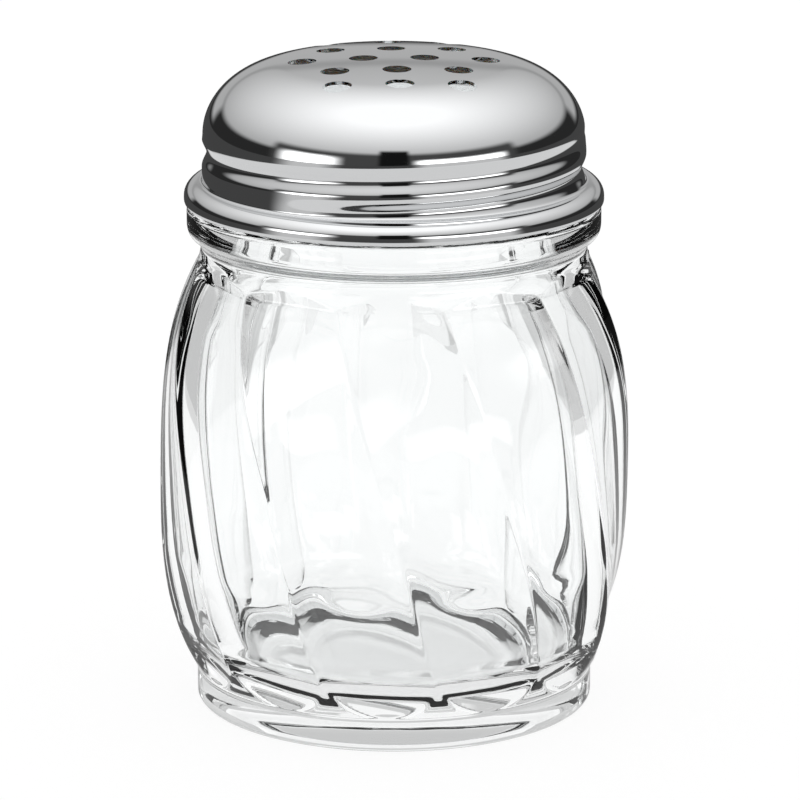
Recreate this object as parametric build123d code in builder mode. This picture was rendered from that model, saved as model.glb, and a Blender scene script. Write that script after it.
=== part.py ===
from build123d import *
from math import asin, atan2, cos, pi, radians, sin, sqrt
import os

# A glass table shaker: a pressed jar with twisted flutes and a threaded mouth, a soft ring that
# seals its rim, and a drawn metal lid with a pierced dome, a rolled thread and a curled edge.
# Millimetres, +Z up. The origin is the centre of the foot, on the surface that the jar stands on.

os.makedirs("parts", exist_ok=True)

# ---------------------------------------------------------------- driving dimensions
# Jar, outside
belly_radius = 36.6  # over the ridges between the flutes
belly_height = 36.0  # of the widest place above the table
barrel_fullness = 3.4  # exponent of the belly's curve: higher is squarer
barrel_length = 64.6  # from the foot to the end of the shoulder
foot_radius = 31.05
foot_height = 5.4  # plain cylinder below the flutes
foot_edge = 0.9  # rounding of the foot's lower edge
shoulder_radius = 31.0
neck_depth = 1.1  # how far the neck's groove lies inside the shoulder's end
neck_length = 4.4
collar_radius = 32.0
collar_length = 4.6
collar_swell = 1.85  # height over which the collar grows to its full radius
collar_round = 0.8  # rounding of the collar's top edge

# Jar, inside
belly_wall = 3.4  # under a ridge
cavity_fullness = 3.0  # exponent of the inside's curve
cavity_end = 68.0  # height above which the inside is as wide as the mouth
floor_thickness = 6.5
heel_height = 7.0  # of the rounded corner between floor and wall
heel_width = 16.0
heel_wall = 4.05  # under a ridge, at the heel's top
punt_radius = 24.5  # of the hollow under the floor
punt_rise = 0.6

# Flutes
flute_count = 12
flute_sag = 0.3  # each flute is this much hollower than a flat facet
flute_twist = 0.4534  # degrees of turn for each millimetre of height
ridge_direction = -90.4  # of one ridge at the belly's widest place, in degrees from +X
ridge_land = 0.07  # how far the round jar is dressed back on a ridge
flute_foot_gap = 0.6  # plain height between the foot's top and the lowest cut
flute_neck_reach = 1.4  # how far the cuts run past the shoulder's end

# Threaded mouth
finish_radius = 27.9
finish_wall = 3.0
finish_height = 13.95  # from the collar to the rim
rim_round = 1.0
thread_pitch = 4.8  # right-handed
thread_depth = 0.8
thread_root_width = 2.2
thread_crest_width = 0.8
thread_bite = 0.4  # depth of the thread's root inside the wall
thread_turns = 1.4
thread_start_direction = -290.0  # of the thread's lower end, in degrees from +X

# Sealing ring between rim and lid
ring_width = 2.9
ring_thickness = 1.0
ring_seat_gap = 0.1

# Lid
sheet = 0.5
skirt_clearance = 0.4  # between the crest of the jar's thread and the lid's skirt
flank_clearance = 0.25  # between the flanks of the two threads
groove_depth = 0.75
groove_width = 3.0
groove_turns = 1.13
groove_start_direction = -60.0  # of the groove's lower end, in degrees from +X
groove_start_height = 4.8  # above the hem's lower edge
skirt_step = 0.15  # the skirt stands this far out from the dome
skirt_step_drop = 0.8
knuckle_reach = 13.3  # of the dome's rounded edge, inwards
knuckle_rise = 11.03  # and upwards
knuckle_sweep = 83.6  # degrees of that curve before the shallow crown takes over
dome_gap = 0.13  # between the dome's inside and the sealing ring
flange_reach = 2.8  # how far the flange stands out from the skirt
flange_rise = 3.35  # from the hem's lower edge to the flange's top
flange_round = 2.2
flange_fillet = 0.4
hem_radius = 0.7  # of the curled edge
hem_gap = 0.25  # between hem and collar

# Pierced holes: rows across the dome, each given by its number of holes
hole_diameter = 4.4
hole_spacing = 9.4
row_spacing = 8.4
row_counts = (3, 3, 4, 3, 3)
row_turn = 3.0  # direction of the rows in degrees

# Modelling values
curve_steps = 8  # spans of a curve that follows a formula
flute_section_spacing = 7.4  # between the cross-sections that shape the fluted body
end_run = 4.0  # height over which a flute rises out of the glass at its ends
margin = 1.0  # by which a cutter runs past what it cuts

# ---------------------------------------------------------------- heights and radii that follow
shoulder_height = foot_height + barrel_length
neck_middle = shoulder_height + neck_length / 2
collar_bottom = shoulder_height + neck_length
collar_top = collar_bottom + collar_length
rim_height = collar_top + finish_height
mouth_radius = finish_radius - finish_wall
crest_radius = finish_radius + thread_depth
heel_top = floor_thickness + heel_height

ring_bottom = rim_height + ring_seat_gap
ring_top = ring_bottom + ring_thickness
ring_radius = mouth_radius + ring_width

skirt_radius = crest_radius + skirt_clearance + sheet
dome_radius = skirt_radius - skirt_step
flange_radius = skirt_radius + flange_reach
hem_bottom = collar_top + hem_gap
flange_top = hem_bottom + flange_rise

# The groove is pressed in by a round edge, and the ridge inside is that round plus the sheet.
groove_round = ((groove_width / 2) ** 2 + groove_depth**2) / (2 * groove_depth)
groove_centre = skirt_radius - groove_depth + groove_round
groove_start = hem_bottom + groove_start_height
ridge_round = groove_round + sheet

# Closed, the lid's ridge lies just under the jar's thread.
thread_above_groove = thread_crest_width / 2 + sqrt(
    (ridge_round + flank_clearance) ** 2 - (groove_centre - crest_radius) ** 2
)
start_turns = (thread_start_direction - groove_start_direction) / 360
thread_start = groove_start + thread_pitch * start_turns + thread_above_groove

# The dome's edge is most of a quarter ellipse, as high as lets it rest on the ring's outer edge.
knuckle_centre = dome_radius - knuckle_reach
ring_share = (ring_radius + dome_gap - knuckle_centre) / (knuckle_reach - sheet)
knuckle_height = ring_top - (knuckle_rise - sheet) * sqrt(1 - ring_share**2)


def heights_between(low, high, steps):
    """Evenly spaced heights, both ends included."""
    return [low + (high - low) * step / steps for step in range(steps + 1)]


def barrel_radius(height):
    """Outside radius over the ridges: nearly upright at the belly and steep at both ends."""
    if height > belly_height:
        share = (height - belly_height) / (shoulder_height - belly_height)
        return belly_radius - (belly_radius - shoulder_radius) * share**barrel_fullness
    share = (belly_height - height) / (belly_height - foot_height)
    return belly_radius - (belly_radius - foot_radius) * share**barrel_fullness


heel_radius = barrel_radius(heel_top) - heel_wall


def cavity_radius(height):
    """Radius of the inside, by the same kind of curve."""
    widest = belly_radius - belly_wall
    if height > belly_height:
        share = (height - belly_height) / (cavity_end - belly_height)
        return widest - (widest - mouth_radius) * share**cavity_fullness
    share = (belly_height - height) / (belly_height - heel_top)
    return widest - (widest - heel_radius) * share**cavity_fullness


def arc_about_axis(top, radius, lean):
    """Arc from the axis outwards, centred on the axis below its top, over an angle in radians."""
    points = [(radius * sin(a), top - radius + radius * cos(a)) for a in (0, lean / 2, lean)]
    return ThreePointArc(*points)


# ---------------------------------------------------------------- cutters for the jar
# The inside of the jar, from its floor to past the rim
cavity_top = rim_height + margin
cavity_heights = heights_between(heel_top, cavity_end, curve_steps)
heel_slope = cavity_fullness * (belly_radius - belly_wall - heel_radius) / (belly_height - heel_top)
with BuildPart() as cavity:
    with BuildSketch(Plane.XZ):
        with BuildLine():
            Line((0, floor_thickness), (heel_radius - heel_width, floor_thickness))
            Spline(
                (heel_radius - heel_width, floor_thickness),
                (heel_radius, heel_top),
                tangents=[(1, 0), (heel_slope, 1)],
            )
            Spline([(cavity_radius(z), z) for z in cavity_heights])
            Polyline(
                (mouth_radius, cavity_end),
                (mouth_radius, cavity_top),
                (0, cavity_top),
                (0, floor_thickness),
            )
        make_face()
    revolve(axis=Axis.Z)

# What the flutes leave of the barrel is a twisted prism with slightly hollow sides. Over most of
# its height its edges lie just outside the round barrel, so that a thin land stays on each
# ridge. At both ends the prism is wider than the barrel, and the flutes run out in arches.
half_side = pi / flute_count
flute_low = foot_height + flute_foot_gap
flute_high = shoulder_height + flute_neck_reach


def prism_section(height, edge_radius):
    """One cross-section of the prism, turned by the twist."""
    turn = radians(ridge_direction + flute_twist * (belly_height - height))
    hollow_radius = edge_radius * cos(half_side) - flute_sag
    with BuildSketch(Plane.XY.offset(height)) as section:
        with BuildLine():
            for side in range(flute_count):
                start = turn + 2 * half_side * side
                middle = start + half_side
                end = middle + half_side
                ThreePointArc(
                    (edge_radius * cos(start), edge_radius * sin(start)),
                    (hollow_radius * cos(middle), hollow_radius * sin(middle)),
                    (edge_radius * cos(end), edge_radius * sin(end)),
                )
        make_face()
    return section.sketch


def edge_radius_round(radius):
    """Edge radius at which the middle of a side just clears a round of the given radius."""
    return (radius + flute_sag + 2 * ridge_land) / cos(half_side)


middle_low = flute_low + end_run
middle_high = shoulder_height - end_run / 4
middle_spans = round((middle_high - middle_low) / flute_section_spacing)
middle_heights = heights_between(middle_low, middle_high, middle_spans)
prism_sections = [prism_section(flute_low, edge_radius_round(foot_radius))]
prism_sections += [prism_section(z, barrel_radius(z) + ridge_land) for z in middle_heights]
prism_sections += [prism_section(flute_high, edge_radius_round(shoulder_radius - neck_depth))]

with BuildPart() as flute_cutter:
    with BuildSketch(Plane.XY.offset(flute_low)):
        Circle(belly_radius + margin)
    extrude(amount=flute_high - flute_low)
    loft(prism_sections, mode=Mode.SUBTRACT)


# ---------------------------------------------------------------- screw threads
def section_plane(path):
    """Plane square to the start of a helix, its x axis pointing away from the Z axis."""
    start = path @ 0
    return Plane(origin=start, x_dir=(start.X, start.Y, 0), z_dir=path % 0)


# The jar's thread: a right-handed ridge with sloping flanks, rooted in the mouth's wall
with BuildPart() as jar_thread:
    with BuildLine() as thread_line:
        Helix(
            pitch=thread_pitch,
            height=thread_pitch * thread_turns,
            radius=finish_radius,
            center=(0, 0, thread_start),
        )
    thread_path = thread_line.edges()[0]
    with BuildSketch(section_plane(thread_path)):
        Polygon(
            (-thread_bite, -thread_root_width / 2),
            (0, -thread_root_width / 2),
            (thread_depth, -thread_crest_width / 2),
            (thread_depth, thread_crest_width / 2),
            (0, thread_root_width / 2),
            (-thread_bite, thread_root_width / 2),
            align=None,
        )
    sweep(path=thread_path, is_frenet=True)


def rolled_body(tool_round, outer_limit):
    """Helical body that a round tool sweeps along the lid's groove, cut off at a radius."""
    with BuildPart() as roll:
        with BuildLine() as roll_line:
            Helix(
                pitch=thread_pitch,
                height=thread_pitch * groove_turns,
                radius=groove_centre,
                center=(0, 0, groove_start),
            )
        roll_path = roll_line.edges()[0]
        with BuildSketch(section_plane(roll_path)):
            Circle(tool_round)
            with Locations((outer_limit - groove_centre + tool_round, 0)):
                Rectangle(2 * tool_round, 3 * tool_round, mode=Mode.SUBTRACT)
        sweep(path=roll_path, is_frenet=True)
    return roll.part


# ---------------------------------------------------------------- jar
barrel_heights = heights_between(foot_height, shoulder_height, curve_steps)
collar_full = collar_bottom + collar_swell
collar_underside = (shoulder_radius + collar_radius - collar_round) / 2
punt_curve = (punt_radius**2 + punt_rise**2) / (2 * punt_rise)
with BuildPart() as jar:
    # Turned shape, with a hollow under the floor, the neck's groove and the collar
    with BuildSketch(Plane.XZ):
        with BuildLine():
            arc_about_axis(punt_rise, punt_curve, asin(punt_radius / punt_curve))
            Line((punt_radius, 0), (foot_radius - foot_edge, 0))
            RadiusArc((foot_radius - foot_edge, 0), (foot_radius, foot_edge), -foot_edge)
            Line((foot_radius, foot_edge), (foot_radius, foot_height))
            Spline([(barrel_radius(z), z) for z in barrel_heights])
            ThreePointArc(
                (shoulder_radius, shoulder_height),
                (shoulder_radius - neck_depth, neck_middle),
                (collar_underside, collar_bottom),
            )
            Spline(
                (collar_underside, collar_bottom),
                (collar_radius, collar_full),
                tangents=[(collar_radius - collar_underside, collar_swell / 2), (0, 1)],
            )
            Line((collar_radius, collar_full), (collar_radius, collar_top - collar_round))
            RadiusArc(
                (collar_radius, collar_top - collar_round),
                (collar_radius - collar_round, collar_top),
                -collar_round,
            )
            Line((collar_radius - collar_round, collar_top), (finish_radius, collar_top))
            Line((finish_radius, collar_top), (finish_radius, rim_height - rim_round))
            RadiusArc(
                (finish_radius, rim_height - rim_round),
                (finish_radius - rim_round, rim_height),
                -rim_round,
            )
            Polyline((finish_radius - rim_round, rim_height), (0, rim_height), (0, punt_rise))
        make_face()
    revolve(axis=Axis.Z)
    add(flute_cutter.part, mode=Mode.SUBTRACT)
    add(cavity.part, mode=Mode.SUBTRACT)
    add(jar_thread.part, rotation=(0, 0, thread_start_direction))
jar.part.label = "glass_jar"
export_step(jar.part, "parts/glass_jar.step")

# ---------------------------------------------------------------- sealing ring
# A soft flat ring that lies on the rim, inside the lid
with BuildPart() as rim_ring:
    with BuildSketch(Plane.XY.offset(ring_bottom)):
        Circle(ring_radius)
        Circle(mouth_radius, mode=Mode.SUBTRACT)
    extrude(amount=ring_thickness)
rim_ring.part.label = "rim_ring"
export_step(rim_ring.part, "parts/rim_ring.step")


# ---------------------------------------------------------------- lid
def lid_outline(inset):
    """Half of the lid's outline, closed along the axis, drawn this far inside the outer skin."""
    reach = knuckle_reach - inset
    rise = knuckle_rise - inset
    # The crown is an arc about the axis that carries on from the knuckle without a kink.
    join_angle = radians(knuckle_sweep)
    join_radius = knuckle_centre + reach * cos(join_angle)
    join_height = knuckle_height + rise * sin(join_angle)
    lean = atan2(cos(join_angle) / reach, sin(join_angle) / rise)
    crown_radius = join_radius / sin(lean)
    crown_top = join_height + crown_radius * (1 - cos(lean))
    skirt = skirt_radius - inset
    flange = flange_radius - inset
    foot = hem_bottom + hem_radius
    with BuildSketch(Plane.XZ) as outline:
        with BuildLine():
            arc_about_axis(crown_top, crown_radius, lean)
            EllipticalCenterArc((knuckle_centre, knuckle_height), reach, rise, arc_size=knuckle_sweep)
            Line((dome_radius - inset, knuckle_height), (skirt, knuckle_height - skirt_step_drop))
            FilletPolyline(
                (skirt, knuckle_height - skirt_step_drop),
                (skirt, flange_top - inset),
                (flange, flange_top - inset),
                (flange, foot),
                radius=[flange_fillet + inset, flange_round - inset],
            )
            Polyline((flange, foot), (0, foot), (0, crown_top))
        make_face()
    return outline.sketch


hole_points = []
for row, count in enumerate(row_counts):
    row_offset = (row - (len(row_counts) - 1) / 2) * row_spacing
    row_start = -(count - 1) / 2 * hole_spacing
    hole_points += [(row_start + place * hole_spacing, row_offset) for place in range(count)]

outer_skin = lid_outline(0)
inner_skin = lid_outline(sheet)
ridge_body = rolled_body(ridge_round, skirt_radius - sheet / 2)
groove_body = rolled_body(groove_round, flange_radius)

with BuildPart() as lid:
    # Drawn sheet: dome, skirt and flange
    add(outer_skin)
    revolve(axis=Axis.Z)
    add(inner_skin)
    revolve(axis=Axis.Z, mode=Mode.SUBTRACT)
    # Curled edge
    with BuildSketch(Plane.XZ):
        with Locations((flange_radius - hem_radius, hem_bottom + hem_radius)):
            Circle(hem_radius)
    revolve(axis=Axis.Z)
    # Rolled thread: the ridge that it makes inside, then the groove outside
    add(ridge_body, rotation=(0, 0, groove_start_direction))
    add(groove_body, rotation=(0, 0, groove_start_direction), mode=Mode.SUBTRACT)
    # Pierced holes
    with BuildSketch(Plane.XY.offset(knuckle_height).rotated((0, 0, row_turn))):
        with Locations(*hole_points):
            Circle(hole_diameter / 2)
    extrude(amount=2 * knuckle_rise, mode=Mode.SUBTRACT)
lid.part.label = "lid"
export_step(lid.part, "parts/lid.step")
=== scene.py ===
from math import asin, atan2, cos, pi, radians, sin

import bmesh
import bpy
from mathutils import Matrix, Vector


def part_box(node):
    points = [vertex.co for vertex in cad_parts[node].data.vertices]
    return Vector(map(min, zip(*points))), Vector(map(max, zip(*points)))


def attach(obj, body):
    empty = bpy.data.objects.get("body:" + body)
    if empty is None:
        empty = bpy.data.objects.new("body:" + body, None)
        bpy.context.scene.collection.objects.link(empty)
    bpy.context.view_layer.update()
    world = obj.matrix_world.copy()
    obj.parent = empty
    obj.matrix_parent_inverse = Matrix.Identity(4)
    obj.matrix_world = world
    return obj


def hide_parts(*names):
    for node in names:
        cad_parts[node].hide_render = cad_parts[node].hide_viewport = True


# A glass table shaker with a pierced, chrome-plated screw lid, on a white sweep in a studio.
# Lengths are in metres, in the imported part's own frame.

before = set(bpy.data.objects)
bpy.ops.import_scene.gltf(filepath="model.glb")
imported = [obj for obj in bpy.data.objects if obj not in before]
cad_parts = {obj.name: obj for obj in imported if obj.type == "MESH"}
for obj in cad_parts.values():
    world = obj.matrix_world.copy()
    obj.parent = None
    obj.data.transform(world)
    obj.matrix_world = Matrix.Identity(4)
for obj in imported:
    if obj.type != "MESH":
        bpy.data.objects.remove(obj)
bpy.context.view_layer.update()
MM = 0.001

# ---------------------------------------------------------------- sizes
# Jar, outside
BELLY_RADIUS = 36.6 * MM
BELLY_HEIGHT = 36.0 * MM
BARREL_FULLNESS = 3.4
FOOT_RADIUS = 31.05 * MM
FOOT_HEIGHT = 5.4 * MM
FOOT_EDGE = 0.9 * MM
SHOULDER_RADIUS = 31.0 * MM
SHOULDER_HEIGHT = 70.0 * MM
NECK_DEPTH = 1.1 * MM
NECK_LENGTH = 4.4 * MM
COLLAR_RADIUS = 32.0 * MM
COLLAR_LENGTH = 4.6 * MM
COLLAR_SWELL = 1.85 * MM
COLLAR_LEAN = -pi / 2.4  # where the swell starts, next to the neck's groove
COLLAR_ROUND = 0.8 * MM
COLLAR_FILLET = 0.4 * MM  # between the collar's top and the mouth
COLLAR_BOTTOM = SHOULDER_HEIGHT + NECK_LENGTH
COLLAR_TOP = COLLAR_BOTTOM + COLLAR_LENGTH

# Jar, inside
BELLY_WALL = 3.4 * MM  # under a ridge
CAVITY_RADIUS = BELLY_RADIUS - BELLY_WALL
CAVITY_FULLNESS = 3.0
CAVITY_END = 68.0 * MM  # above it the inside is as wide as the mouth
FLOOR_THICKNESS = 6.5 * MM
HEEL_HEIGHT = 7.0 * MM
HEEL_WIDTH = 16.0 * MM
HEEL_RADIUS = 30.6 * MM
PUNT_RADIUS = 24.5 * MM
PUNT_RISE = 0.6 * MM

# Flutes
FLUTE_COUNT = 12
FLUTE_SAG = 0.3 * MM
FLUTE_TWIST = radians(0.4534) / MM  # radians of turn for each metre of height
RIDGE_DIRECTION = radians(-90.4)
RIDGE_LAND = 0.07 * MM
RIDGE_SOFTNESS = 0.1 * MM  # the fire-polished ridge is this much rounder than a cut one
INNER_PRESS = 0.4 * MM  # depth of the flutes inside, where they show softly
INNER_SOFTNESS = 0.7 * MM
FLUTE_LOW = FOOT_HEIGHT + 0.6 * MM
FLUTE_HIGH = SHOULDER_HEIGHT + 1.4 * MM
END_RUN = 4.0 * MM  # height over which a flute rises out of the glass
INNER_LOW = FLOOR_THICKNESS + HEEL_HEIGHT + 6.0 * MM  # the flutes inside start and end here
INNER_HIGH = SHOULDER_HEIGHT - END_RUN
INNER_END_RUN = 1.5 * END_RUN
CROWDING = 0.4  # how much the mesh is drawn towards the ridges

# Threaded mouth
FINISH_RADIUS = 27.9 * MM
MOUTH_RADIUS = 24.9 * MM
RIM_HEIGHT = 92.95 * MM
RIM_ROUND = 1.0 * MM
RIM_EDGE = 0.5 * MM  # rounding of the rim's inner edge
RIM_LAND = 2.0 * MM  # the inside is plain from here down
OUTER_SHARE = 0.99  # points further out than this share of the finish's radius carry the thread
THREAD_FOOT = COLLAR_TOP + 0.5 * MM  # and only above this height
THREAD_PITCH = 4.8 * MM  # right-handed, on the jar and on the lid
THREAD_DEPTH = 0.8 * MM
THREAD_CREST = 0.8 * MM
THREAD_ROOT = 2.2 * MM
THREAD_TURNS = 1.4
THREAD_RUN_OUT = 0.04  # turns over which it fades at its ends
THREAD_START = 83.05 * MM  # its height where it crosses THREAD_DIRECTION
THREAD_DIRECTION = radians(-290)

# Lid
SHEET = 0.5 * MM
SKIRT_RADIUS = 29.6 * MM
DOME_RADIUS = 29.45 * MM
KNUCKLE_REACH = 13.3 * MM
KNUCKLE_RISE = 11.03 * MM
KNUCKLE_SWEEP = radians(83.6)
SKIRT_STEP_DROP = 0.8 * MM
LID_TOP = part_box("lid")[1][2]
HEM_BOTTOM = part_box("lid")[0][2]
HEM_RADIUS = 0.7 * MM
HEM_SWEEP = -1.1 * pi
FLANGE_RADIUS = 32.4 * MM
FLANGE_TOP = HEM_BOTTOM + 3.35 * MM
FLANGE_ROUND = 2.2 * MM
FLANGE_FILLET = 0.4 * MM
GROOVE_DEPTH = 0.75 * MM
GROOVE_WIDTH = 4.6 * MM
GROOVE_START = HEM_BOTTOM + 4.8 * MM  # its height where it crosses GROOVE_DIRECTION
GROOVE_DIRECTION = radians(-60)
GROOVE_TURNS = 1.2
GROOVE_LEAD = -0.2  # the turns at which it starts
GROOVE_RUN_OUT = 0.12  # turns over which it fades at its ends
HOLE_DIAMETER = 4.4 * MM
HOLE_SPACING = 9.4 * MM
ROW_SPACING = 8.4 * MM
ROW_COUNTS = (3, 3, 4, 3, 3)
ROW_TURN = radians(3)
PUNCH_SIDES = 64
PUNCH_LENGTH = 8.0 * MM
SHARP_BEND = radians(40)  # edges bent further than this stay sharp
SEAL_ROUND = 0.3 * MM  # the sealing ring's edges

# Meshes
ROUND_STEPS = 336  # of every turned piece, twenty-eight to a flute
ON_AXIS = 1e-9  # a smaller radius is the axis itself
EDGE_LOOP = 0.3 * MM  # from the foot's edges to the points that keep its flat ring flat
FINE_LOW, FINE_HIGH = 8.0 * MM, 6.0 * MM  # the rows of points crowd this near the flutes' ends


# ---------------------------------------------------------------- small tools
MATH, RAMP = "ShaderNodeMath", "ShaderNodeMapRange"
SMOOTH = {"interpolation_type": "SMOOTHSTEP"}  # the setting of a ramp with soft ends


def linear(hex_colour):
    """An sRGB hex colour as linear red, green, blue and alpha."""
    parts = [int(hex_colour[i : i + 2], 16) / 255 for i in (1, 3, 5)]
    return [v / 12.92 if v <= 0.04045 else ((v + 0.055) / 1.055) ** 2.4 for v in parts] + [1.0]


def node(tree, kind, inputs=(), **settings):
    """Adds a node with its settings. inputs gives its sockets, in order or by name, a value or
    what to link: a socket, or a node for its first output."""
    made = tree.nodes.new(kind)
    for key, value in settings.items():
        setattr(made, key, value)
    for key, value in inputs.items() if isinstance(inputs, dict) else enumerate(inputs):
        if isinstance(value, bpy.types.Node):
            value = value.outputs[0]
        if isinstance(value, bpy.types.NodeSocket):
            tree.links.new(value, made.inputs[key])
        else:
            made.inputs[key].default_value = value
    return made


def azimuth_of(tree, parts):
    """Azimuth in degrees, from the camera's side, of a direction split into X, Y and Z."""
    behind = node(tree, MATH, [parts["Y"], -1.0], operation="MULTIPLY")
    around = node(tree, MATH, [parts["X"], behind], operation="ARCTAN2")
    return node(tree, MATH, [around], operation="DEGREES")


def band(tree, value, span, soft):
    """1 where value lies in the span, with soft edges."""
    low, high = span
    rise = node(tree, RAMP, [value, low - soft / 2, low + soft / 2], **SMOOTH)
    fall = node(tree, RAMP, [value, high - soft / 2, high + soft / 2, 1.0, 0.0], **SMOOTH)
    return node(tree, MATH, [rise, fall], operation="MULTIPLY")


def steps(low, high, count):
    """Numbers from low to high in equal steps, with both ends."""
    return [low + (high - low) * i / count for i in range(count + 1)]


def arc(centre, radii, start, end, count):
    """Points along a quarter round or another part of an ellipse, angles in radians."""
    (x, y), (across, up) = centre, radii
    return [(x + across * cos(a), y + up * sin(a)) for a in steps(start, end, count)]


def turned(name, outline, edges=None, closed=False):
    """A closed turned shape. Its outline starts and ends on the axis, or is a closed loop, with
    the solid on its left. edges gives each point the radius and the softness of the flutes' edges
    there, or zeros where there are no flutes."""
    mesh = bpy.data.meshes.new(name)
    bm = bmesh.new()
    edge = bm.verts.layers.float.new("edge_radius")
    softness = bm.verts.layers.float.new("edge_softness")
    rings = []
    for index, (radius, height) in enumerate(outline):
        if radius < ON_AXIS:
            ring = [bm.verts.new((0, 0, height))] * ROUND_STEPS
        else:
            around = [2 * pi * i / ROUND_STEPS for i in range(ROUND_STEPS)]
            ring = [bm.verts.new((radius * cos(a), radius * sin(a), height)) for a in around]
        for vert in set(ring):
            vert[edge], vert[softness] = edges[index] if edges else (0.0, 0.0)
        rings.append(ring)
    if closed:
        rings.append(rings[0])
    for lower, upper in zip(rings, rings[1:]):
        for i in range(ROUND_STEPS):
            j = (i + 1) % ROUND_STEPS
            corners = []
            for vert in (lower[i], lower[j], upper[j], upper[i]):
                if vert not in corners:
                    corners.append(vert)
            bm.faces.new(corners).smooth = True
    bm.to_mesh(mesh)
    bm.free()
    made = bpy.data.objects.new(name, mesh)
    bpy.context.collection.objects.link(made)
    return made


def baked(source, tree, name, material, values):
    """Runs a Geometry Nodes tree on an object and returns the result as a plain mesh object."""
    modifier = source.modifiers.new(name, "NODES")
    modifier.node_group = tree
    values = {**values, "Material": material}
    for item in tree.interface.items_tree:
        if item.item_type == "SOCKET" and item.in_out == "INPUT" and item.name in values:
            modifier[item.identifier] = values[item.name]
    evaluated = source.evaluated_get(bpy.context.evaluated_depsgraph_get())
    mesh = bpy.data.meshes.new_from_object(evaluated)
    bpy.data.objects.remove(source)
    made = bpy.data.objects.new(name, mesh)
    bpy.context.collection.objects.link(made)
    return made


def geometry_tree(name, inputs):
    """A new Geometry Nodes tree with a geometry, a material and named number inputs."""
    tree = bpy.data.node_groups.new(name, "GeometryNodeTree")
    kinds = {"Geometry": "NodeSocketGeometry", "Material": "NodeSocketMaterial", **inputs}
    for label, kind in kinds.items():
        tree.interface.new_socket(label, in_out="INPUT", socket_type=kind)
    tree.interface.new_socket("Geometry", in_out="OUTPUT", socket_type="NodeSocketGeometry")
    return tree, node(tree, "NodeGroupInput").outputs


def close_tree(tree, given, geometry):
    """Ends a Geometry Nodes tree: instances become real and take the material."""
    real = node(tree, "GeometryNodeRealizeInstances", [geometry])
    inputs = {"Geometry": real, "Material": given["Material"]}
    dressed = node(tree, "GeometryNodeSetMaterial", inputs)
    node(tree, "NodeGroupOutput", {"Geometry": dressed})


def polar(tree):
    """Radius, angle and height of each point about the Z axis."""
    place = node(tree, "GeometryNodeInputPosition")
    parts = node(tree, "ShaderNodeSeparateXYZ", [place]).outputs
    flat = node(tree, "ShaderNodeCombineXYZ", {"X": parts["X"], "Y": parts["Y"]})
    radius = node(tree, "ShaderNodeVectorMath", [flat], operation="LENGTH").outputs["Value"]
    angle = node(tree, MATH, [parts["Y"], parts["X"]], operation="ARCTAN2")
    return radius, angle, parts["Z"]


def set_polar(tree, geometry, radius, angle, height):
    """Moves each point to a radius, angle and height about the Z axis."""
    cosine = node(tree, MATH, [angle], operation="COSINE")
    across = node(tree, MATH, [radius, cosine], operation="MULTIPLY")
    sine = node(tree, MATH, [angle], operation="SINE")
    along = node(tree, MATH, [radius, sine], operation="MULTIPLY")
    place = node(tree, "ShaderNodeCombineXYZ", {"X": across, "Y": along, "Z": height})
    return node(tree, "GeometryNodeSetPosition", {"Geometry": geometry, "Position": place})


def from_helix(tree, angle, height, start_angle, start_height, pitch):
    """Height of each point above the nearest turn of a right-handed helix, and the number of
    turns from the helix's start to that place."""
    swept = node(tree, MATH, [angle, start_angle], operation="SUBTRACT")
    turns = node(tree, MATH, [swept, 2 * pi], operation="DIVIDE")
    climbed = node(tree, MATH, [height, start_height], operation="SUBTRACT")
    climb = node(tree, MATH, [climbed, pitch], operation="DIVIDE")
    behind = node(tree, MATH, [climb, turns], operation="SUBTRACT")
    lap = node(tree, MATH, [behind], operation="ROUND")
    missed = node(tree, MATH, [behind, lap], operation="SUBTRACT")
    above = node(tree, MATH, [missed, pitch], operation="MULTIPLY")
    return above, node(tree, MATH, [turns, lap], operation="ADD")


def run_outs(tree, along, first, last, fade):
    """1 between two places along a helix, falling smoothly to 0 over the fade at each."""
    risen = node(tree, MATH, [first, fade], operation="ADD")
    rise = node(tree, RAMP, [along, first, risen], **SMOOTH)
    falling = node(tree, MATH, [last, fade], operation="SUBTRACT")
    fall = node(tree, RAMP, [along, falling, last, 1.0, 0.0], **SMOOTH)
    return node(tree, MATH, [rise, fall], operation="MULTIPLY")


NUMBER, WHOLE = "NodeSocketFloat", "NodeSocketInt"


# ---------------------------------------------------------------- materials
GLASS_IOR = 1.52
WAVE_SIZE, WAVE_HEIGHT, WAVE_STRENGTH = 9.0 * MM, 0.4 * MM, 0.05  # waviness of pressed glass
# Patterns: the part of the noise that counts, and the least and the greatest roughness
WEAR_SIZE, WEAR_SPAN, CHROME_ROUGHNESS = 3.0 * MM, (0.3, 0.8), (0.03, 0.07)
CLOUD_SIZE, CLOUD_SPAN, SEAL_ROUGHNESS = 4.0 * MM, (0.3, 0.7), (0.4, 0.55)


def new_material(name):
    material = bpy.data.materials.new(name)
    material.use_nodes = True
    material.node_tree.nodes.clear()
    return material, material.node_tree


def pressed_glass():
    """Clear soda-lime glass, pressed and fire-polished: sharp reflections and a faint waviness
    from the mould."""
    material, tree = new_material("pressed soda-lime glass")
    place = node(tree, "ShaderNodeTexCoord").outputs["Object"]
    inputs = {"Vector": place, "Scale": 1 / WAVE_SIZE, "Detail": 1.0}
    wave = node(tree, "ShaderNodeTexNoise", inputs)
    inputs = {"Height": wave, "Strength": WAVE_STRENGTH, "Distance": WAVE_HEIGHT}
    bump = node(tree, "ShaderNodeBump", inputs)
    inputs = {
        "Base Color": linear("#FDFEFE"),
        "Roughness": 0.0,
        "IOR": GLASS_IOR,
        "Transmission Weight": 1.0,
        "Normal": bump,
    }
    shader = node(tree, "ShaderNodeBsdfPrincipled", inputs)
    node(tree, "ShaderNodeOutputMaterial", {"Surface": shader})
    return material


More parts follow.
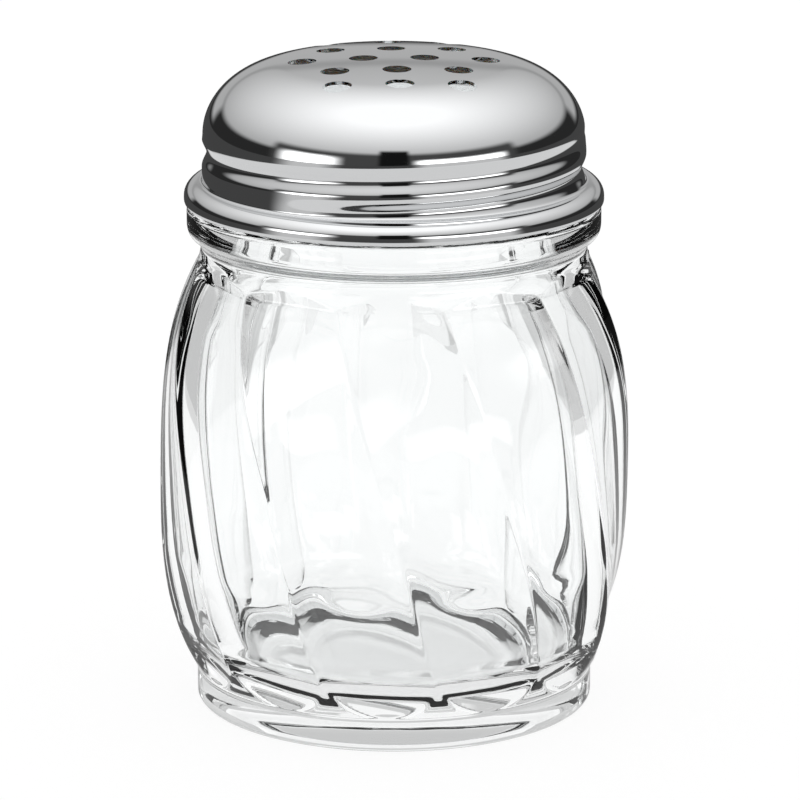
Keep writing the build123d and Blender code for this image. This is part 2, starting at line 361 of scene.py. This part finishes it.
def chrome_plate():
    """Bright chrome-plated steel sheet, drawn and polished: a mirror with the finest wear."""
    material, tree = new_material("chrome-plated steel sheet")
    place = node(tree, "ShaderNodeTexCoord").outputs["Object"]
    inputs = {"Vector": place, "Scale": 1 / WEAR_SIZE, "Detail": 4.0}
    wear = node(tree, "ShaderNodeTexNoise", inputs)
    rough = node(tree, RAMP, [wear, *WEAR_SPAN, *CHROME_ROUGHNESS], **SMOOTH)
    inputs = {"Base Color": linear("#E6E7E8"), "Metallic": 1.0, "Roughness": rough}
    shader = node(tree, "ShaderNodeBsdfPrincipled", inputs)
    node(tree, "ShaderNodeOutputMaterial", {"Surface": shader})
    return material


def soft_seal():
    """Moulded translucent vinyl, slightly milky."""
    material, tree = new_material("moulded vinyl seal")
    place = node(tree, "ShaderNodeTexCoord").outputs["Object"]
    cloud = node(tree, "ShaderNodeTexNoise", {"Vector": place, "Scale": 1 / CLOUD_SIZE})
    rough = node(tree, RAMP, [cloud, *CLOUD_SPAN, *SEAL_ROUGHNESS], **SMOOTH)
    inputs = {"Base Color": linear("#DCDAD2"), "Roughness": rough, "Subsurface Weight": 0.3}
    shader = node(tree, "ShaderNodeBsdfPrincipled", inputs)
    node(tree, "ShaderNodeOutputMaterial", {"Surface": shader})
    return material


# ---------------------------------------------------------------- jar
def barrel_radius(height):
    """Radius of the round jar outside, from the foot to the shoulder."""
    if height > BELLY_HEIGHT:
        share = (height - BELLY_HEIGHT) / (SHOULDER_HEIGHT - BELLY_HEIGHT)
        return BELLY_RADIUS - (BELLY_RADIUS - SHOULDER_RADIUS) * share**BARREL_FULLNESS
    share = (BELLY_HEIGHT - height) / (BELLY_HEIGHT - FOOT_HEIGHT)
    return BELLY_RADIUS - (BELLY_RADIUS - FOOT_RADIUS) * share**BARREL_FULLNESS


def cavity_radius(height):
    """Radius of the inside, from the heel's top to where it is as wide as the mouth."""
    if height > BELLY_HEIGHT:
        share = (height - BELLY_HEIGHT) / (CAVITY_END - BELLY_HEIGHT)
        return CAVITY_RADIUS - (CAVITY_RADIUS - MOUTH_RADIUS) * share**CAVITY_FULLNESS
    share = (BELLY_HEIGHT - height) / (BELLY_HEIGHT - FLOOR_THICKNESS - HEEL_HEIGHT)
    return CAVITY_RADIUS - (CAVITY_RADIUS - HEEL_RADIUS) * share**CAVITY_FULLNESS


def prism_edge(height):
    """Radius of the flutes' edges: just outside the barrel, and wider at the lower end."""
    half_side = pi / FLUTE_COUNT
    low_edge = (FOOT_RADIUS + FLUTE_SAG + 2 * RIDGE_LAND) / cos(half_side)
    high_edge = (SHOULDER_RADIUS - NECK_DEPTH + FLUTE_SAG + 2 * RIDGE_LAND) / cos(half_side)
    low, high = FLUTE_LOW + END_RUN, SHOULDER_HEIGHT - END_RUN / 4
    if height < low:
        share = (height - FLUTE_LOW) / END_RUN
        return low_edge + (barrel_radius(low) + RIDGE_LAND - low_edge) * share
    if height > high:
        share = (height - high) / (FLUTE_HIGH - high)
        upper = barrel_radius(high) + RIDGE_LAND
        return upper + (high_edge - upper) * share
    return barrel_radius(height) + RIDGE_LAND


def inner_prism_edge(height):
    """The same for the softer flutes inside, which fade out over the heel and under the neck."""
    share = min((height - INNER_LOW) / INNER_END_RUN, (INNER_HIGH - height) / INNER_END_RUN, 1.0)
    press = (INNER_PRESS + INNER_SOFTNESS) * share * share * (3 - 2 * share) - INNER_SOFTNESS
    return (cavity_radius(height) - press + FLUTE_SAG) / cos(pi / FLUTE_COUNT)


def jar_outside():
    """Outline from the middle of the hollow foot up to the rim."""
    punt_curve = (PUNT_RADIUS**2 + PUNT_RISE**2) / (2 * PUNT_RISE)
    lean = asin(PUNT_RADIUS / punt_curve)
    points = arc((0, PUNT_RISE - punt_curve), (punt_curve, punt_curve), pi / 2, pi / 2 - lean, 10)
    points += [(PUNT_RADIUS + EDGE_LOOP, 0), (FOOT_RADIUS - FOOT_EDGE - EDGE_LOOP, 0)]
    points += arc((FOOT_RADIUS - FOOT_EDGE, FOOT_EDGE), (FOOT_EDGE, FOOT_EDGE), -pi / 2, 0, 6)
    points += [(FOOT_RADIUS, z) for z in steps(FOOT_EDGE, FOOT_HEIGHT, 6)[1:-1]]
    low, high = FOOT_HEIGHT + FINE_LOW, SHOULDER_HEIGHT - FINE_HIGH
    heights = steps(FOOT_HEIGHT, low, 24) + steps(low, high, 52)[1:]
    heights += steps(high, SHOULDER_HEIGHT, 18)[1:-1]
    points += [(barrel_radius(z), z) for z in heights]
    neck_span = NECK_LENGTH / 2
    neck_curve = (neck_span**2 + NECK_DEPTH**2) / (2 * NECK_DEPTH)
    bend = asin(neck_span / neck_curve)
    middle = (SHOULDER_RADIUS - NECK_DEPTH + neck_curve, SHOULDER_HEIGHT + neck_span)
    points += arc(middle, (neck_curve, neck_curve), pi + bend, pi - bend, 18)
    full = COLLAR_BOTTOM + COLLAR_SWELL
    swell = (COLLAR_RADIUS - SHOULDER_RADIUS, COLLAR_SWELL)
    points += arc((SHOULDER_RADIUS, full), swell, COLLAR_LEAN, 0, 7)
    points += [(COLLAR_RADIUS, (full + COLLAR_TOP - COLLAR_ROUND) / 2)]
    top_round = (COLLAR_RADIUS - COLLAR_ROUND, COLLAR_TOP - COLLAR_ROUND)
    points += arc(top_round, (COLLAR_ROUND, COLLAR_ROUND), 0, pi / 2, 6)
    points += [(FINISH_RADIUS + COLLAR_FILLET, COLLAR_TOP), (FINISH_RADIUS, COLLAR_TOP + COLLAR_FILLET)]
    low, high = COLLAR_TOP + 2 * COLLAR_FILLET, RIM_HEIGHT - RIM_ROUND
    points += [(FINISH_RADIUS, z) for z in steps(low, high, 36)[:-1]]
    rim = (FINISH_RADIUS - RIM_ROUND, RIM_HEIGHT - RIM_ROUND)
    return points + arc(rim, (RIM_ROUND, RIM_ROUND), 0, pi / 2, 5)


def jar_inside():
    """Outline from the rim down the inside to the middle of the floor."""
    heel_top = FLOOR_THICKNESS + HEEL_HEIGHT
    points = arc((MOUTH_RADIUS + RIM_EDGE, RIM_HEIGHT - RIM_EDGE), (RIM_EDGE, RIM_EDGE), pi / 2, pi, 4)
    points += [(MOUTH_RADIUS, z) for z in steps(RIM_HEIGHT - RIM_LAND, CAVITY_END, 6)[:-1]]
    points += [(cavity_radius(z), z) for z in steps(CAVITY_END, heel_top, 60)]
    heel = (HEEL_RADIUS - HEEL_WIDTH, heel_top)
    points += arc(heel, (HEEL_WIDTH, HEEL_HEIGHT), 0, -pi / 2, 20)[1:]
    points += [(heel[0] * share, FLOOR_THICKNESS) for share in (0.6, 0.3)]
    return points + [(0, FLOOR_THICKNESS)]


def flute_tree():
    """Twists a turned jar, presses the flutes into it and raises its thread."""
    tree, given = geometry_tree(
        "twisted flutes and thread",
        {
            "Flute Count": WHOLE,
            "Sag": NUMBER,
            "Ridge Direction": NUMBER,
            "Belly Height": NUMBER,
            "Twist": NUMBER,
            "Finish Radius": NUMBER,
            "Finish Foot": NUMBER,
            "Thread Start": NUMBER,
            "Thread Direction": NUMBER,
            "Thread Pitch": NUMBER,
            "Thread Turns": NUMBER,
            "Thread Depth": NUMBER,
            "Thread Crest": NUMBER,
            "Thread Root": NUMBER,
        },
    )
    radius, angle, height = polar(tree)
    # Place across each side: -1 and 1 are ridges. Points crowd towards them, to draw them crisply.
    side = node(tree, MATH, [2 * pi, given["Flute Count"]], operation="DIVIDE")
    half = node(tree, MATH, [pi, given["Flute Count"]], operation="DIVIDE")
    from_ridge = node(tree, MATH, [angle, side], operation="FLOORED_MODULO")
    from_middle = node(tree, MATH, [from_ridge, half], operation="SUBTRACT")
    even = node(tree, MATH, [from_middle, half], operation="DIVIDE")
    square = node(tree, MATH, [even, even], operation="MULTIPLY")
    slack = node(tree, MATH, [1.0, square], operation="SUBTRACT")
    stretch = node(tree, MATH, [slack, CROWDING, 1.0], operation="MULTIPLY_ADD")
    share = node(tree, MATH, [even, stretch], operation="MULTIPLY")
    crowded = node(tree, MATH, [share, half], operation="MULTIPLY")
    middle_angle = node(tree, MATH, [angle, from_middle], operation="SUBTRACT")
    new_angle = node(tree, MATH, [middle_angle, crowded], operation="ADD")
    # A slightly hollow side of the prism, blended with the round jar
    stored = "GeometryNodeInputNamedAttribute"
    edge, softness = [
        node(tree, stored, {"Name": name}, data_type="FLOAT").outputs["Attribute"]
        for name in ("edge_radius", "edge_softness")
    ]
    half_cosine = node(tree, MATH, [half], operation="COSINE")
    middle = node(tree, MATH, [edge, half_cosine], operation="MULTIPLY")
    cosine = node(tree, MATH, [crowded], operation="COSINE")
    flat = node(tree, MATH, [middle, cosine], operation="DIVIDE")
    square = node(tree, MATH, [share, share], operation="MULTIPLY")
    bow = node(tree, MATH, [1.0, square], operation="SUBTRACT")
    hollow = node(tree, MATH, [given["Sag"], bow], operation="MULTIPLY")
    face = node(tree, MATH, [flat, hollow], operation="SUBTRACT")
    pressed = node(tree, MATH, [face, radius, softness], operation="SMOOTH_MIN")
    fluted = node(tree, MATH, [edge, 0.0], operation="GREATER_THAN")
    bite = node(tree, MATH, [radius, pressed], operation="SUBTRACT")
    depth = node(tree, MATH, [fluted, bite], operation="MULTIPLY")
    below_belly = node(tree, MATH, [given["Belly Height"], height], operation="SUBTRACT")
    turn = node(tree, MATH, [given["Twist"], below_belly], operation="MULTIPLY")
    turn = node(tree, MATH, [given["Ridge Direction"], turn], operation="ADD")
    new_angle = node(tree, MATH, [new_angle, turn], operation="ADD")
    new_radius = node(tree, MATH, [radius, depth], operation="SUBTRACT")
    wound = set_polar(tree, given["Geometry"], new_radius, new_angle, height)
    # The thread, on the outside of the mouth
    radius, angle, height = polar(tree)
    above, along = from_helix(
        tree, angle, height, given["Thread Direction"], given["Thread Start"], given["Thread Pitch"]
    )
    crest = node(tree, MATH, [given["Thread Crest"], 2.0], operation="DIVIDE")
    root = node(tree, MATH, [given["Thread Root"], 2.0], operation="DIVIDE")
    off_crest = node(tree, MATH, [above], operation="ABSOLUTE")
    profile = node(tree, RAMP, [off_crest, crest, root, 1.0, 0.0], **SMOOTH)
    faded = run_outs(tree, along, 0.0, given["Thread Turns"], THREAD_RUN_OUT)
    amount = node(tree, MATH, [profile, faded], operation="MULTIPLY")
    nearly = node(tree, MATH, [given["Finish Radius"], OUTER_SHARE], operation="MULTIPLY")
    outer = node(tree, MATH, [radius, nearly], operation="GREATER_THAN")
    upper = node(tree, MATH, [height, given["Finish Foot"]], operation="GREATER_THAN")
    threaded = node(tree, MATH, [outer, upper], operation="MULTIPLY")
    amount = node(tree, MATH, [amount, threaded], operation="MULTIPLY")
    raised = node(tree, MATH, [amount, given["Thread Depth"], radius], operation="MULTIPLY_ADD")
    close_tree(tree, given, set_polar(tree, wound, raised, angle, height))
    return tree


def make_jar(material):
    outside, inside = jar_outside(), jar_inside()
    edges = []
    for _, z in outside:
        edges.append((prism_edge(z), RIDGE_SOFTNESS) if FLUTE_LOW <= z <= FLUTE_HIGH else (0.0, 0.0))
    for _, z in inside:
        fluted = INNER_LOW < z < INNER_HIGH
        edges.append((inner_prism_edge(z), INNER_SOFTNESS) if fluted else (0.0, 0.0))
    blank = turned("jar_blank", outside + inside, edges)
    values = {
        "Flute Count": FLUTE_COUNT,
        "Sag": FLUTE_SAG,
        "Ridge Direction": RIDGE_DIRECTION,
        "Belly Height": BELLY_HEIGHT,
        "Twist": FLUTE_TWIST,
        "Finish Radius": FINISH_RADIUS,
        "Finish Foot": THREAD_FOOT,
        "Thread Start": THREAD_START,
        "Thread Direction": THREAD_DIRECTION,
        "Thread Pitch": THREAD_PITCH,
        "Thread Turns": THREAD_TURNS,
        "Thread Depth": THREAD_DEPTH,
        "Thread Crest": THREAD_CREST,
        "Thread Root": THREAD_ROOT,
    }
    return baked(blank, flute_tree(), "fluted_jar", material, values)


# ---------------------------------------------------------------- lid
def lid_skin(inset):
    """Outline of one skin of the sheet, from the middle of the crown down to the hem."""
    knuckle_centre = DOME_RADIUS - KNUCKLE_REACH

    def crown(reach, rise):
        """Where the crown joins the knuckle, its radius, and how far it leans there."""
        lean = atan2(cos(KNUCKLE_SWEEP) / reach, sin(KNUCKLE_SWEEP) / rise)
        join = knuckle_centre + reach * cos(KNUCKLE_SWEEP)
        return lean, join / sin(lean)

    lean, curve = crown(KNUCKLE_REACH, KNUCKLE_RISE)
    knuckle_height = LID_TOP - curve * (1 - cos(lean)) - KNUCKLE_RISE * sin(KNUCKLE_SWEEP)
    reach, rise = KNUCKLE_REACH - inset, KNUCKLE_RISE - inset
    lean, curve = crown(reach, rise)
    crown_centre = knuckle_height + rise * sin(KNUCKLE_SWEEP) - curve * cos(lean)
    points = arc((0, crown_centre), (curve, curve), pi / 2, pi / 2 - lean, 8)
    points += arc((knuckle_centre, knuckle_height), (reach, rise), KNUCKLE_SWEEP, 0, 30)[1:]
    skirt, top = SKIRT_RADIUS - inset, FLANGE_TOP - inset
    fillet = FLANGE_FILLET + inset
    points += [(skirt, z) for z in steps(knuckle_height - SKIRT_STEP_DROP, top + fillet, 40)[:-1]]
    points += arc((skirt + fillet, top + fillet), (fillet, fillet), pi, 3 * pi / 2, 5)
    bend = FLANGE_ROUND - inset
    edge = (FLANGE_RADIUS - FLANGE_ROUND, FLANGE_TOP - FLANGE_ROUND)
    return points + arc(edge, (bend, bend), pi / 2, 0, 12)


def lid_outline():
    """Inner skin, curled edge and outer skin, from axis to axis."""
    curl_centre = (FLANGE_RADIUS - HEM_RADIUS, HEM_BOTTOM + HEM_RADIUS)
    curl = arc(curl_centre, (HEM_RADIUS, HEM_RADIUS), 0, HEM_SWEEP, 14)
    return (lid_skin(0) + curl + lid_skin(SHEET)[::-1])[::-1]


def lid_tree():
    """Rolls the groove into the skirt, inside and out, and pierces the rows of holes."""
    tree, given = geometry_tree(
        "rolled groove and holes",
        {
            "Groove Start": NUMBER,
            "Groove Direction": NUMBER,
            "Groove Pitch": NUMBER,
            "Groove Turns": NUMBER,
            "Groove Depth": NUMBER,
            "Groove Width": NUMBER,
            "Hole Diameter": NUMBER,
            "Hole Spacing": NUMBER,
            "Row Spacing": NUMBER,
            "Row Turn": NUMBER,
            "Lid Top": NUMBER,
        },
    )
    radius, angle, height = polar(tree)
    above, along = from_helix(
        tree, angle, height, given["Groove Direction"], given["Groove Start"], given["Groove Pitch"]
    )
    half_width = node(tree, MATH, [given["Groove Width"], 2.0], operation="DIVIDE")
    off_middle = node(tree, MATH, [above], operation="ABSOLUTE")
    profile = node(tree, RAMP, [off_middle, 0.0, half_width, 1.0, 0.0], **SMOOTH)
    faded = run_outs(tree, along, GROOVE_LEAD, given["Groove Turns"], GROOVE_RUN_OUT)
    amount = node(tree, MATH, [profile, faded], operation="MULTIPLY")
    depth = node(tree, MATH, [amount, given["Groove Depth"]], operation="MULTIPLY")
    rolled = node(tree, MATH, [radius, depth], operation="SUBTRACT")
    skirt = set_polar(tree, given["Geometry"], rolled, angle, height)
    # Punches, in rows across the dome
    rows = node(tree, "GeometryNodeJoinGeometry")
    for row, count in enumerate(ROW_COUNTS):
        from_centre = row - (len(ROW_COUNTS) - 1) / 2
        x = node(tree, MATH, [given["Hole Spacing"], (1 - count) / 2], operation="MULTIPLY")
        y = node(tree, MATH, [given["Row Spacing"], from_centre], operation="MULTIPLY")
        start = node(tree, "ShaderNodeCombineXYZ", {"X": x, "Y": y, "Z": given["Lid Top"]})
        step = node(tree, "ShaderNodeCombineXYZ", {"X": given["Hole Spacing"]})
        inputs = {"Count": count, "Start Location": start, "Offset": step}
        line = node(tree, "GeometryNodeMeshLine", inputs, mode="OFFSET")
        tree.links.new(line.outputs[0], rows.inputs[0])
    punch_radius = node(tree, MATH, [given["Hole Diameter"], 2.0], operation="DIVIDE")
    inputs = {"Vertices": PUNCH_SIDES, "Radius": punch_radius, "Depth": PUNCH_LENGTH}
    punch = node(tree, "GeometryNodeMeshCylinder", inputs)
    punches = node(tree, "GeometryNodeInstanceOnPoints", {"Points": rows, "Instance": punch})
    turn = node(tree, "ShaderNodeCombineXYZ", {"Z": given["Row Turn"]})
    placed = node(tree, "GeometryNodeTransform", {"Geometry": punches, "Rotation": turn})
    solid = node(tree, "GeometryNodeRealizeInstances", [placed])
    boolean = {"operation": "DIFFERENCE", "solver": "EXACT"}
    pierced = node(tree, "GeometryNodeMeshBoolean", [skirt, solid], **boolean)
    # The punched rims stay sharp
    bend = node(tree, "GeometryNodeInputMeshEdgeAngle").outputs["Unsigned Angle"]
    sharp = node(tree, MATH, [bend, SHARP_BEND], operation="GREATER_THAN")
    inputs = {"Geometry": pierced, "Selection": sharp, "Shade Smooth": False}
    rims = node(tree, "GeometryNodeSetShadeSmooth", inputs, domain="EDGE")
    close_tree(tree, given, rims)
    return tree


def make_lid(material):
    values = {
        "Groove Start": GROOVE_START,
        "Groove Direction": GROOVE_DIRECTION,
        "Groove Pitch": THREAD_PITCH,
        "Groove Turns": GROOVE_TURNS,
        "Groove Depth": GROOVE_DEPTH,
        "Groove Width": GROOVE_WIDTH,
        "Hole Diameter": HOLE_DIAMETER,
        "Hole Spacing": HOLE_SPACING,
        "Row Spacing": ROW_SPACING,
        "Row Turn": ROW_TURN,
        "Lid Top": LID_TOP,
    }
    return baked(turned("lid_blank", lid_outline()), lid_tree(), "pierced_lid", material, values)


# ---------------------------------------------------------------- sealing ring
def make_ring(material):
    """A soft flat ring with rounded edges."""
    low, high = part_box("rim_ring")
    outer = high[0]
    outline = []
    corners = [(outer, low[2], -1, 1), (outer, high[2], -1, -1)]
    corners += [(MOUTH_RADIUS, high[2], 1, -1), (MOUTH_RADIUS, low[2], 1, 1)]
    for quarter, (radius, z, inward, upward) in enumerate(corners):
        centre = (radius + inward * SEAL_ROUND, z + upward * SEAL_ROUND)
        start = (quarter - 1) * pi / 2
        outline += arc(centre, (SEAL_ROUND, SEAL_ROUND), start, start + pi / 2, 4)
    ring = turned("seal_ring", outline, closed=True)
    ring.data.materials.append(material)
    return ring


# ---------------------------------------------------------------- pieces on their bodies
pieces = [
    (make_jar(pressed_glass()), "glass_jar", "jar", "glass"),
    (make_lid(chrome_plate()), "lid", "lid", "chrome"),
    (make_ring(soft_seal()), "rim_ring", "ring", "ring"),
]
for piece, replaced, body, slot in pieces:
    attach(piece, body)
    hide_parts(replaced)

# ---------------------------------------------------------------- floor
FLOOR_REACH = 3.0
FLOOR_GAP = 0.05 * MM  # the foot stands just clear of the floor
CAMERA_GLOW, OTHER_GLOW = 0.85, 0.6  # how much of an even glow evens out the floor's shadow
FLOOR_WHITE = 1.05  # brightness of that glow, looked at directly
THROUGH_GLASS = 1.2  # seen through the glass
MIRRORED_FLOOR = 0.72  # and in mirror reflections
SIDE_DISTANCE, SIDE_BLUR = 0.5, 0.03  # past it, to either side, metal and glass see the floor
SIDE_SHADE = 0.4  # this much darker
TABLE_DISTANCE, TABLE_BLUR = 0.27, 0.02  # past it mirror reflections see a dark table
TABLE, PAINTED_WINDOW_REFLECTION = 0.06, 0.55  # brightness of the table's glow, and the painted reflection of a window: more glow where the window would show in it
# The two windows: azimuth from the camera's side, elevation, brightness and softness of the edges
WINDOWS = [
    ("left window", (-68, -37), (-3, 13), 3.2, (18, 8)),
    ("right window", (15, 68), (-1, 10), 3.2, (12, 6)),
]
floor_mesh = bpy.data.meshes.new("floor")
corners = [(-FLOOR_REACH, -FLOOR_REACH, 0), (FLOOR_REACH, -FLOOR_REACH, 0)]
corners += [(FLOOR_REACH, FLOOR_REACH, 0), (-FLOOR_REACH, FLOOR_REACH, 0)]
floor_mesh.from_pydata(corners, [], [(0, 1, 2, 3)])
floor = bpy.data.objects.new("floor", floor_mesh)
floor.location.z = -FLOOR_GAP
bpy.context.collection.objects.link(floor)


def white_sweep():
    """Matt white acrylic that takes the jar's shadow, lit up to white where a ray looks at it. In
    mirror reflections, past the sweep, it shows a faintly glowing dark table with the windows'
    reflections painted on it.
    """
    material, tree = new_material("white acrylic sweep")
    path = node(tree, "ShaderNodeLightPath").outputs
    glossy = path["Is Glossy Ray"]
    paint = node(tree, "ShaderNodeBsdfDiffuse", {"Color": linear("#FBFBFB")})
    share = node(tree, MATH, [path["Is Camera Ray"], CAMERA_GLOW], operation="MULTIPLY")
    share = node(tree, MATH, [glossy, OTHER_GLOW, share], operation="MULTIPLY_ADD")
    mirrored = node(tree, MATH, [path["Is Reflection Ray"], glossy], operation="MULTIPLY")
    extra = THROUGH_GLASS - FLOOR_WHITE
    level = node(tree, MATH, [glossy, extra, FLOOR_WHITE], operation="MULTIPLY_ADD")
    extra = MIRRORED_FLOOR - THROUGH_GLASS
    level = node(tree, MATH, [mirrored, extra, level], operation="MULTIPLY_ADD")
    place = node(tree, "ShaderNodeTexCoord").outputs["Object"]
    parts = node(tree, "ShaderNodeSeparateXYZ", [place]).outputs
    aside = node(tree, MATH, [parts["X"]], operation="ABSOLUTE")
    reach = [SIDE_DISTANCE, SIDE_DISTANCE + SIDE_BLUR]
    shade = node(tree, RAMP, [aside, *reach, 0.0, SIDE_SHADE], **SMOOTH)
    shade = node(tree, MATH, [shade, glossy], operation="MULTIPLY")
    unshaded = node(tree, MATH, [1.0, shade], operation="SUBTRACT")
    level = node(tree, MATH, [level, unshaded], operation="MULTIPLY")
    # The table beyond the sweep, in mirror reflections, with the windows' reflections painted on it as
    # extra glow
    table_and_painted_reflections = TABLE
    # painted reflections of the windows: the table glows brighter in their azimuth bands
    for _, across, _, _, softness in WINDOWS:
        mask = band(tree, azimuth_of(tree, parts), across, softness[0])
        table_and_painted_reflections = node(tree, MATH, [mask, PAINTED_WINDOW_REFLECTION, table_and_painted_reflections], operation="MULTIPLY_ADD")
    away = node(tree, "ShaderNodeVectorMath", [place], operation="LENGTH").outputs["Value"]
    reach = [TABLE_DISTANCE - TABLE_BLUR, TABLE_DISTANCE + TABLE_BLUR]
    past = node(tree, RAMP, [away, *reach], **SMOOTH)
    past = node(tree, MATH, [past, mirrored], operation="MULTIPLY")
    share = node(tree, MATH, [share, past], operation="MAXIMUM")
    before = node(tree, MATH, [1.0, past], operation="SUBTRACT")
    kept = node(tree, MATH, [level, before], operation="MULTIPLY")
    level = node(tree, MATH, [past, table_and_painted_reflections, kept], operation="MULTIPLY_ADD")
    glow = node(tree, "ShaderNodeEmission", {"Strength": level})
    mixed = node(tree, "ShaderNodeMixShader", [share, paint, glow])
    node(tree, "ShaderNodeOutputMaterial", {"Surface": mixed})
    return material


floor_mesh.materials.append(white_sweep())


# ---------------------------------------------------------------- studio
# What stands round the table, by azimuth from the camera's side and elevation, in degrees:
# (name, azimuth range, elevation range, brightness, softness of the edges). Later ones cover
# earlier ones.
CARDS = [
    ("dark room at the sides", (-200, 200), (-8, 13), 0.024, (5, 6)),
    ("lighter wall behind, to the left", (-200, -145), (2, 13), 0.46, (10, 5)),
    ("lighter wall behind, to the right", (145, 200), (2, 13), 0.46, (10, 5)),
    ("room on the camera's side", (-78, 78), (-8, 22), 0.064, (8, 8)),
    ("camera", (-9, 9), (-12, 28), 0.008, (4, 6)),
    *WINDOWS,
]
# White paper behind the jar, which only shows through the glass
SWEEPS = [
    ("sweep behind, to the left", (-200, -163), (-12, 13), 0.96, (6, 5)),
    ("sweep behind, to the right", (163, 200), (-12, 13), 0.96, (6, 5)),
]
DARKEST_THROUGH_GLASS = 0.6  # nothing in the room is darker than this through the glass
CEILING_EDGE = (14.0, 0.46)  # elevation and brightness where the light overhead is faintest
CEILING_TOP = (72.0, 1.25)  # and from where it is full
GROUND = (-5.0, 0.8)  # the same for the room below the table
PLAIN_LIGHT = 0.8  # on matt surfaces


def studio_world():
    world = bpy.data.worlds.new("studio")
    bpy.context.scene.world = world
    world.use_nodes = True
    tree = world.node_tree
    tree.nodes.clear()
    looked = node(tree, "ShaderNodeTexCoord").outputs["Generated"]
    path = node(tree, "ShaderNodeLightPath").outputs
    parts = node(tree, "ShaderNodeSeparateXYZ", [looked]).outputs
    azimuth = azimuth_of(tree, parts)
    upward = node(tree, MATH, [parts["Z"]], operation="ARCSINE")
    elevation = node(tree, MATH, [upward], operation="DEGREES")
    # A soft box overhead, fading towards the walls
    (low, faint), (high, full) = CEILING_EDGE, CEILING_TOP
    level = node(tree, RAMP, [elevation, low, high, faint, full])
    under = node(tree, MATH, [elevation, GROUND[0]], operation="LESS_THAN")
    below = node(tree, MATH, [under, GROUND[1]], operation="MULTIPLY")
    level = node(tree, MATH, [level, below], operation="MAXIMUM")
    for group, seen in ((CARDS, 1.0), (SWEEPS, path["Is Transmission Ray"])):
        for _, across, up, shade, softness in group:
            wide = band(tree, azimuth, across, softness[0])
            mask = node(tree, MATH, [seen, wide], operation="MULTIPLY")
            tall = band(tree, elevation, up, softness[1])
            mask = node(tree, MATH, [mask, tall], operation="MULTIPLY")
            bare = node(tree, MATH, [1.0, mask], operation="SUBTRACT")
            kept = node(tree, MATH, [level, bare], operation="MULTIPLY")
            level = node(tree, MATH, [mask, shade, kept], operation="MULTIPLY_ADD")
    least = [path["Is Transmission Ray"], DARKEST_THROUGH_GLASS]
    least = node(tree, MATH, least, operation="MULTIPLY")
    level = node(tree, MATH, [level, least], operation="MAXIMUM")
    plainly = [path["Is Camera Ray"], path["Is Diffuse Ray"]]
    plainly = node(tree, MATH, plainly, operation="MAXIMUM")
    white = linear("#FFFFFF")
    cards = node(tree, "ShaderNodeBackground", {"Color": white, "Strength": level})
    plain = node(tree, "ShaderNodeBackground", {"Color": white, "Strength": PLAIN_LIGHT})
    shown = node(tree, "ShaderNodeMixShader", [plainly, cards, plain])
    node(tree, "ShaderNodeOutputWorld", {"Surface": shown})


studio_world()

# ---------------------------------------------------------------- camera
CAMERA_DISTANCE = 748.5 * MM
CAMERA_PITCH = radians(14.95)
AIM_HEIGHT = 47.4 * MM
LENS_FOR_VIEW = 215.87  # millimetres, on a sensor of this width:
SENSOR_WIDTH = 36.0
FRAME_SHIFT = 6 / 800  # the jar stands a little left of the frame's middle
camera_data = bpy.data.cameras.new("camera")
camera_data.lens = LENS_FOR_VIEW
camera_data.sensor_width = SENSOR_WIDTH
camera_data.shift_x = FRAME_SHIFT
camera = bpy.data.objects.new("camera", camera_data)
bpy.context.collection.objects.link(camera)
aim = Vector((0, 0, AIM_HEIGHT))
back = Vector((0, -cos(CAMERA_PITCH), sin(CAMERA_PITCH)))
camera.location = aim + back * CAMERA_DISTANCE
camera.rotation_mode = "QUATERNION"
camera.rotation_quaternion = (-back).to_track_quat("-Z", "Y")
bpy.context.scene.camera = camera
bpy.context.scene.view_settings.view_transform = "Standard"
